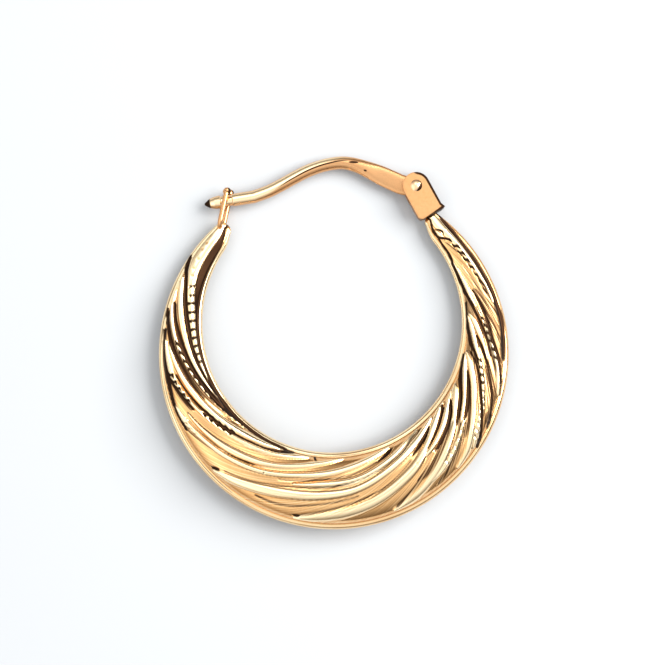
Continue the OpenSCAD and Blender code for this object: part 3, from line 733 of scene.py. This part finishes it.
def drill(piece, diameter):
    """Drills a piece through for the rivet."""
    turns = np.linspace(0, 2 * np.pi, DRILL_STEPS + 1)[:-1]
    circle = [(diameter / 2 * math.cos(t), diameter / 2 * math.sin(t)) for t in turns]
    cut(piece, prism("drill", circle, -DRILL_L / 2, DRILL_L / 2, at_rivet, 0.05))


def soften_edges(piece, edge, steps=3):
    """Rounds a piece's hard edges and shades it smooth between them."""
    bevel = piece.modifiers.new("edges", "BEVEL")
    bevel.width = edge / 1000
    bevel.segments = steps
    bevel.limit_method = "ANGLE"
    bevel.angle_limit = math.radians(35)
    bevel.harden_normals = True
    finish_mesh(piece)


clevis = prism("clevis", clevis_outline(), -CLEVIS_T / 2, CLEVIS_T / 2, at_rivet, EDGE_BAND)
slot_foot = [(-SLOT_REACH, -SLOT_DROP), (SLOT_REACH, -SLOT_DROP)]
slot_outline = [*slot_foot, (SLOT_REACH, SLOT_REACH), (-SLOT_REACH, SLOT_REACH)]
cut(clevis, prism("slot", slot_outline, -EAR_GAP / 2, EAR_GAP / 2, at_rivet))
drill(clevis, EAR_HOLE_D)
soften_edges(clevis, CLEVIS_EDGE)


def points_of(piece):
    """A piece's points in millimetres."""
    return np.array([vertex.co for vertex in piece.data.vertices]) * 1000


def painted_edge_shade(points):
    """How much shade is painted on each place of an ear, along its edges and most along the right one.
    """
    x, y = points[:, 0], points[:, 1]
    starts = np.array(clevis_outline())
    runs = np.roll(starts, -1, 0) - starts
    away = np.stack([x, y], -1)[:, None] - starts
    along = np.clip((away * runs).sum(-1) / (runs**2).sum(-1), 0, 1)
    nearest = np.linalg.norm(away - along[..., None] * runs, axis=-1).min(1)
    strength = EDGE_DARK[1] + (EDGE_DARK[0] - EDGE_DARK[1]) * fade(x, 0.2, 0.6)
    return strength * (1 - fade(nearest, CLEVIS_EDGE, EDGE_BAND)) * fade(np.abs(points[:, 2]), 0.3, 0.54)


placed = points_of(clevis)
flat_x = placed[:, 0] - RIVET[0]
flat_y_all = (placed[:, 1] - LIE_ALONG - (placed[:, 2] - LIE_UP) * math.tan(PITCH)) * math.cos(PITCH)
flat_y = flat_y_all - RIVET[1]
turned = math.radians(CLEVIS_ANGLE - 90)
own_x = flat_x * math.cos(turned) + flat_y * math.sin(turned)
own_y = flat_y * math.cos(turned) - flat_x * math.sin(turned)
own_z = (placed[:, 2] - LIE_UP) / math.cos(PITCH) + flat_y_all * math.tan(PITCH)
edge_dark = painted_edge_shade(np.stack([own_x, own_y, own_z], -1))
mark(clevis.data, "groove", edge_dark)
matt_gold = gold("matt_gold", (0.65, 0.36, 0.165), 0.3, 0.000006, {"Painted Shade": "groove"}, grain=0.25)
clevis.data.materials.clear()
clevis.data.materials.append(matt_gold)
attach(clevis, "hoop")

# Rivet. A short gold wire through both ears and the ear wire's blade, hammered to a dome on each
# face so that the wire turns but can't come off.
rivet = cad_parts["hinge_pin"]
# Shade is painted on each rivet head, on its lower right side
RIVET_HEAD_R = 0.37
HEAD_DARK = [0.25, 0.65]
SHADED_WAY = [0.9, -0.44]
head_points = np.array([rivet.matrix_world @ vertex.co for vertex in rivet.data.vertices]) * 1000
head_points = head_points - lay_down([*RIVET, 0]) * 1000
shaded = head_points[:, :2] @ SHADED_WAY / RIVET_HEAD_R
head_dark = fade(shaded, *HEAD_DARK)
mark(rivet.data, "groove", head_dark)
rivet_gold = gold("rivet_gold", (1.0, 0.7, 0.45), 0.2, 0.000003, {"Painted Shade": "groove"})
rivet.data.materials.clear()
rivet.data.materials.append(rivet_gold)
rivet.data.polygons.foreach_set("use_smooth", [True] * len(rivet.data.polygons))

# Catch. A piece of fine gold wire is bent to a U, its ends are melted to balls, and its foot is
# soldered to the other tip. The ear wire's neck snaps between the two prongs.
CATCH_OFF = [0.12, 1.72]
CATCH_HOLD = middle(np.array(CATCH_TIP)) + CATCH_OFF
PRONG_D = 0.32
PRONG_OUT = 0.59
BALL_D = 0.5
PRONG_RISE = 0.54
FORK_DROP = 1.82
FORK_LEAN = 12.0
FORK_TWIST = 9.0
FORK_SIDES = 24
PRONG_STEPS = 60
FOOT_STEPS = 40
# How near a ball's middle shade is painted, and on which side of the ball
BALL_NEAR = [0.26, 0.4]
BALL_SHADED = [0.1, 0.7]


def sweep(name, path, half_w, half_t, square, sides, up):
    """A closed tube along a path. Its section is an oval that square turns into a rounded slab."""
    path = np.asarray(path, float)
    heading = np.gradient(path, axis=0)
    heading /= np.linalg.norm(heading, axis=1, keepdims=True)
    side = np.cross(heading, up)
    side /= np.linalg.norm(side, axis=1, keepdims=True)
    above = np.cross(side, heading)
    turn = np.arange(sides) * 2 * np.pi / sides
    power = (1 - np.asarray(square) / 2)[:, None]
    out = np.sign(np.cos(turn)) * np.abs(np.cos(turn)) ** power * np.asarray(half_w)[:, None]
    rise = np.sign(np.sin(turn)) * np.abs(np.sin(turn)) ** power * np.asarray(half_t)[:, None]
    rings = path[:, None] + out[..., None] * side[:, None] + rise[..., None] * above[:, None]
    points = np.concatenate([rings.reshape(-1, 3), [path[0], path[-1]]])
    return make_piece(name, points, tube_faces(len(path), sides))


def at_catch(points):
    """Points of the fork, upright about the wire's neck, leant, twisted and moved to the catch."""
    lean, twist = math.radians(-FORK_LEAN), math.radians(FORK_TWIST)
    x, y, z = np.moveaxis(np.asarray(points, float), -1, 0)
    depth, across = x * math.cos(twist) - y * math.sin(twist), x * math.sin(twist) + y * math.cos(twist)
    flat_x, flat_y = -across, z
    placed_x = flat_x * math.cos(lean) - flat_y * math.sin(lean) + CATCH_HOLD[0]
    placed_y = flat_x * math.sin(lean) + flat_y * math.cos(lean) + CATCH_HOLD[1]
    return np.stack([placed_x, placed_y, depth], -1)


def fork_path():
    """The bent wire's middle from one ball round the foot to the other, and its radius."""
    low = PRONG_OUT - FORK_DROP
    prong = np.linspace(PRONG_RISE + BALL_D / 2 - 0.01, low, PRONG_STEPS)
    foot = np.radians(np.linspace(0, 180, FOOT_STEPS))[1:-1]
    xs = np.concatenate([0 * prong + PRONG_OUT, PRONG_OUT * np.cos(foot), 0 * prong - PRONG_OUT])
    zs = np.concatenate([prong, low - PRONG_OUT * np.sin(foot), prong[::-1]])
    ball = np.sqrt(np.clip((BALL_D / 2) ** 2 - (zs - PRONG_RISE) ** 2, 1e-6, None))
    radius = np.where(zs > PRONG_RISE, ball, np.maximum(ball, PRONG_D / 2))
    shift = np.clip((radius - PRONG_D / 2), 0, None) * np.sign(xs)
    return np.stack([xs - shift, 0 * xs, zs], -1), radius


fork_line, fork_radius = fork_path()
fork_up = at_catch([[0, 1, 0]])[0] - at_catch([[0, 0, 0]])[0]
fork_size = fork_radius, fork_radius, 0 * fork_radius
catch_fork = sweep("catch_fork", at_catch(fork_line), *fork_size, FORK_SIDES, fork_up)
ball_dark = np.zeros(len(catch_fork.data.vertices))
fork_points = points_of(catch_fork)
for out in (PRONG_OUT, -PRONG_OUT):
    ball = lay_down(at_catch([[out, 0, PRONG_RISE]]))[0] * 1000
    away = fork_points - ball
    near_ball = 1 - fade(np.linalg.norm(away, axis=1), *BALL_NEAR)
    ball_dark = np.maximum(ball_dark, near_ball * fade(away[:, 0] / (BALL_D / 2), *BALL_SHADED))
mark(catch_fork.data, "groove", ball_dark)
wire_masks = {"Painted Shade": "groove", "Painted Highlight": "painted_highlight"}
wire_gold = gold("wire_gold", (0.7, 0.39, 0.185), 0.2, 0.000003, wire_masks)
catch_fork.data.materials.append(wire_gold)
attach(catch_fork, "hoop")

# Ear wire. Round gold wire is bent over the ear's place, hammered to a blade and drilled where the
# rivet holds it, and filed to a neck and a bullet point at the catch.
WIRE_D = 0.8
BLADE_W = 1.24
BLADE_T = 0.46
BLADE_HOLE_D = 0.52
NECK_D = 0.66
NECK_L = 0.7
NECK_WAIST = 0.02
POST_L = 1.3
POINT_L = 1.4
SHOULDER_L = 0.05
POST_DIP = 4.5
BARREL_R = 0.43
RISE_SCALE = 0.993
BEND_STEPS = 240
EYE_STEPS = 12
POINT_STEPS = 90
# How far from a corner of the turned end its two nearest rings are
CORNER_NEAR = 0.012
# Share of the way from the rivet to the catch, rise above the straight way as a share of it, share of
# blade against round wire
WIRE = [
    [0.000, 0.000, 1.00],
    [0.066, 0.012, 1.00],
    [0.127, 0.043, 1.00],
    [0.189, 0.078, 0.88],
    [0.250, 0.111, 0.50],
    [0.311, 0.139, 0.20],
    [0.375, 0.155, 0.05],
    [0.439, 0.154, 0.00],
    [0.505, 0.143, 0.00],
    [0.571, 0.123, 0.00],
    [0.639, 0.094, 0.00],
    [0.706, 0.063, 0.00],
    [0.773, 0.035, 0.00],
    [0.839, 0.016, 0.00],
]
span = CATCH_HOLD - RIVET
lift = np.array([span[1], -span[0]]) * RISE_SCALE
post_way = way(math.degrees(math.atan2(span[1], span[0])) + POST_DIP)
post_start = -POST_L - NECK_L / 2
table = np.array(WIRE)
places = RIVET + table[:, :1] * span + table[:, 1:2] * lift
blades = table[:, 2]
places = np.concatenate([places, [CATCH_HOLD + d * post_way for d in (post_start, post_start / 2)]])
blades = np.concatenate([blades, [0, 0]])
knots = np.arange(len(places), dtype=float)
fine = np.linspace(0, len(places) - 2, BEND_STEPS)
bend = np.stack([smooth_lookup(fine, knots, places[:, n]) for n in (0, 1)], -1)
flatness = np.clip(smooth_lookup(fine, knots, blades), 0, 1)
eye = np.radians(np.linspace(84, 0, EYE_STEPS)[:-1])
heading_in = (bend[1] - bend[0]) / np.linalg.norm(bend[1] - bend[0])
eye_line = RIVET - BLADE_W / 2 * np.sin(eye)[:, None] * heading_in
# The turned end: distance past the neck's middle, radius
TURNED = [
    [post_start + 0.1, WIRE_D / 2],
    [-NECK_L / 2 - SHOULDER_L, WIRE_D / 2],
    [-NECK_L / 2, NECK_D / 2 + NECK_WAIST],
    [0, NECK_D / 2],
    [NECK_L / 2, NECK_D / 2 + NECK_WAIST],
    [NECK_L / 2 + SHOULDER_L, BARREL_R],
    [POINT_L * 0.55, BARREL_R * 0.9],
    [POINT_L * 0.78, BARREL_R * 0.66],
    [POINT_L, BARREL_R * 0.16],
]
turned_at, turned_r = np.array(TURNED).T
evenly = np.linspace(turned_at[0], POINT_L, POINT_STEPS)
corners = turned_at[1:-1]
doubled = np.sort(np.concatenate([evenly, corners - CORNER_NEAR, corners + CORNER_NEAR]))
turned_line = CATCH_HOLD + doubled[:, None] * post_way
line = np.concatenate([eye_line, bend, turned_line])
line = np.concatenate([line, np.zeros((len(line), 1))], 1)
round_w = WIRE_D / 2 + (BLADE_W - WIRE_D) / 2 * flatness
round_t = WIRE_D / 2 + (BLADE_T - WIRE_D) / 2 * flatness
half_w = np.concatenate([BLADE_W / 2 * np.cos(eye), round_w, np.interp(doubled, turned_at, turned_r)])
half_t = np.concatenate([0 * eye + BLADE_T / 2, round_t, np.interp(doubled, turned_at, turned_r)])
square = np.concatenate([0 * eye + 1, flatness, 0 * doubled])
# Dark reflections painted on the wire, seen from above: place, half length, half width and heading in
# degrees
WIRE_DARK_REFLECTIONS = [
    [1.25, 12.08, 0.3, 0.07, -2],
    [1.98, 11.56, 0.1, 0.06, -20],
]
# Where the point is painted darker towards its end, as distance past the neck's middle
TIP_DARK = [0.95, 1.15]
# The dark reflection painted as a line along the wire: place, share across from its middle, half width
# as a share, strength
WIRE_LINE = [
    [-4.2, -0.35, 0.06, 0.0],
    [-3.4, -0.2, 0.08, 0.5],
    [-2.9, -0.08, 0.1, 0.75],
    [-1.6, -0.02, 0.12, 0.85],
    [-0.3, 0.08, 0.12, 0.8],
    [0.5, 0.22, 0.1, 0.7],
    [1.0, 0.32, 0.06, 0.2],
]
# The highlight painted as a bright band beside it, in the same columns
WIRE_BAND = [
    [-7.0, 0.05, 0.7, 0.9],
    [-5.0, 0.1, 0.7, 0.9],
    [-2.9, 0.4, 0.45, 0.95],
    [-0.3, 0.6, 0.3, 0.9],
    [1.2, 0.75, 0.2, 0.0],
]
WIRE_SIDES = 96
ear_wire = sweep("bent_ear_wire", line, half_w, half_t, square, WIRE_SIDES, np.array([0, 0, 1.0]))
wire_points = points_of(ear_wire)
flat_y = (wire_points[:, 1] - LIE_ALONG) / math.cos(PITCH)
beyond = (wire_points[:, 0] - CATCH_HOLD[0]) * post_way[0] + (flat_y - CATCH_HOLD[1]) * post_way[1]
wire_dark = fade(beyond, *TIP_DARK)
for x, y, long, short, heading in WIRE_DARK_REFLECTIONS:
    mark_way = way(heading)
    away_x, away_y = wire_points[:, 0] - x, flat_y - y
    along_mark = (away_x * mark_way[0] + away_y * mark_way[1]) / long
    across_mark = (away_y * mark_way[0] - away_x * mark_way[1]) / short
    wire_dark = np.maximum(wire_dark, 1 - fade(np.hypot(along_mark, across_mark), 0.6, 1.4))
turns = np.arange(WIRE_SIDES) * 2 * np.pi / WIRE_SIDES
line_x = np.repeat(line[:, 0], WIRE_SIDES)
around = np.tile(np.cos(turns), len(line))
on_top = np.tile(np.sin(turns) > 0, len(line))


def band_along(table):
    """How strongly a band along the wire marks each point of its top."""
    at, across, half, strength = np.array(table).T
    away = np.abs(around - np.interp(line_x, at, across)) / np.interp(line_x, at, half)
    marked = on_top * np.interp(line_x, at, strength) * (1 - fade(away, 0.5, 1.5))
    return np.concatenate([marked, [0, 0]])


wire_dark = np.maximum(wire_dark, band_along(WIRE_LINE))
wire_bright = band_along(WIRE_BAND)
mark(ear_wire.data, "groove", wire_dark)
mark(ear_wire.data, "painted_highlight", wire_bright)
ear_wire.data.materials.append(wire_gold)
drill(ear_wire, BLADE_HOLE_D)
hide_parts("ear_wire")
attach(ear_wire, "ear_wire")

# Floor, light and camera. The hoop lies on pale card under a large soft light from the right and
# above, in a tent of white cloth, and is seen from straight above.
PHOTO_WIDTH = 41.8
PHOTO_CENTRE = lay_down([-0.08, 1.35, 0])
LENS = 120.0
SENSOR = 36.0


def make_floor():
    bpy.ops.mesh.primitive_plane_add(size=1.2)
    floor = bpy.context.object
    floor.name = "floor"
    card = bpy.data.materials.new("white_card")
    card.use_nodes = True
    shader = card.node_tree.nodes["Principled BSDF"]
    shader.inputs["Base Color"].default_value = (0.447, 0.465, 0.485, 1)
    shader.inputs["Roughness"].default_value = 0.9
    floor.data.materials.append(card)


def soft_light(name, place, size, power, colour=(1, 1, 1)):
    """A square soft light, turned to the hoop. The place is in millimetres."""
    light = bpy.data.lights.new(name, "AREA")
    light.size = size / 1000
    light.energy = power
    light.color = colour
    lamp = bpy.data.objects.new(name, light)
    lamp.location = Vector(place) / 1000
    lamp.rotation_euler = lamp.location.to_track_quat("Z", "Y").to_euler()
    bpy.context.scene.collection.objects.link(lamp)


def direction(polar, azimuth):
    """A direction by its angle from straight up and its angle round from the hinge's side."""
    out = math.sin(polar)
    return (out * math.cos(azimuth), out * math.sin(azimuth), math.cos(polar))


make_floor()
KEY_AWAY = 300.0
KEY_SIZE = 230
KEY_POWER = 1.9
KEY_POLAR = math.radians(47)
KEY_AZIMUTH = math.radians(20)
key_place = [KEY_AWAY * part for part in direction(KEY_POLAR, KEY_AZIMUTH)]
soft_light("key_light", key_place, KEY_SIZE, KEY_POWER, (1.0, 0.98, 0.95))

# The tent round the hoop, seen in the gold: a bright ring above with the lens's dull spot in its middle,
# a dark line along the horizon, a dark gap towards the key light, a brighter side across from it, and a
# small bright panel above.
world = bpy.data.worlds.new("studio")
world.use_nodes = True
bpy.context.scene.world = world
tent = world.node_tree
TENT_LEVELS = [
    [0.0, 0.22],
    [0.12, 0.18],
    [0.22, 0.28],
    [0.45, 0.5],
    [0.7, 0.9],
    [0.9, 1.15],
    [0.94, 1.6],
    [0.985, 1.05],
]
PANEL_POLAR = math.radians(32)
PANEL_AZIMUTH = math.radians(100)
DARK_SIDE = direction(math.radians(90), KEY_AZIMUTH)
looking = node(tent, "ShaderNodeTexCoord")
split = node(tent, "ShaderNodeSeparateXYZ", {0: looking.outputs["Generated"]})
levels = node(tent, "ShaderNodeValToRGB", {0: split.outputs["Z"]})
ramp = levels.color_ramp
while len(ramp.elements) < len(TENT_LEVELS):
    ramp.elements.new(0.5)
for element, (height, level) in zip(ramp.elements, TENT_LEVELS):
    element.position = height
    element.color = (level * 0.93 + 0.035, level * 0.98, level * 1.03 - 0.04, 1)


def nearness(place):
    """How near each place of the tent is to a direction: one there, minus one across from it."""
    sides = {0: looking.outputs["Generated"], 1: place}
    return node(tent, "ShaderNodeVectorMath", sides, operation="DOT_PRODUCT").outputs["Value"]


gap = ranged(tent, nearness(DARK_SIDE), (0.55, 0.8), (1.0, 0.03), "SMOOTHSTEP")
fill = ranged(tent, nearness(DARK_SIDE), (-0.3, -0.8), (1.0, 2.5), "SMOOTHSTEP")
seen = mixed(tent, 1.0, levels.outputs[0], worked_out(tent, "MULTIPLY", gap, fill), "MULTIPLY")
panel_way = direction(PANEL_POLAR, PANEL_AZIMUTH)
panel = ranged(tent, nearness(panel_way), (0.96, 0.975), (0.0, 1.6), "SMOOTHSTEP")
seen = mixed(tent, 1.0, seen, panel, "ADD")
path = node(tent, "ShaderNodeLightPath")
sky = mixed(tent, path.outputs["Is Camera Ray"], seen, (0.95, 0.95, 0.95, 1))
tent.links.new(sky, tent.nodes["Background"].inputs["Color"])

camera = bpy.data.cameras.new("camera")
camera.lens = LENS
camera.sensor_width = SENSOR
camera.clip_start = 0.01
camera_object = bpy.data.objects.new("camera", camera)
camera_up = (PHOTO_WIDTH * LENS / SENSOR + LIE_UP) / 1000
camera_object.location = (PHOTO_CENTRE[0], PHOTO_CENTRE[1], camera_up)
bpy.context.scene.collection.objects.link(camera_object)
bpy.context.scene.camera = camera_object
bpy.context.scene.view_settings.view_transform = "Standard"
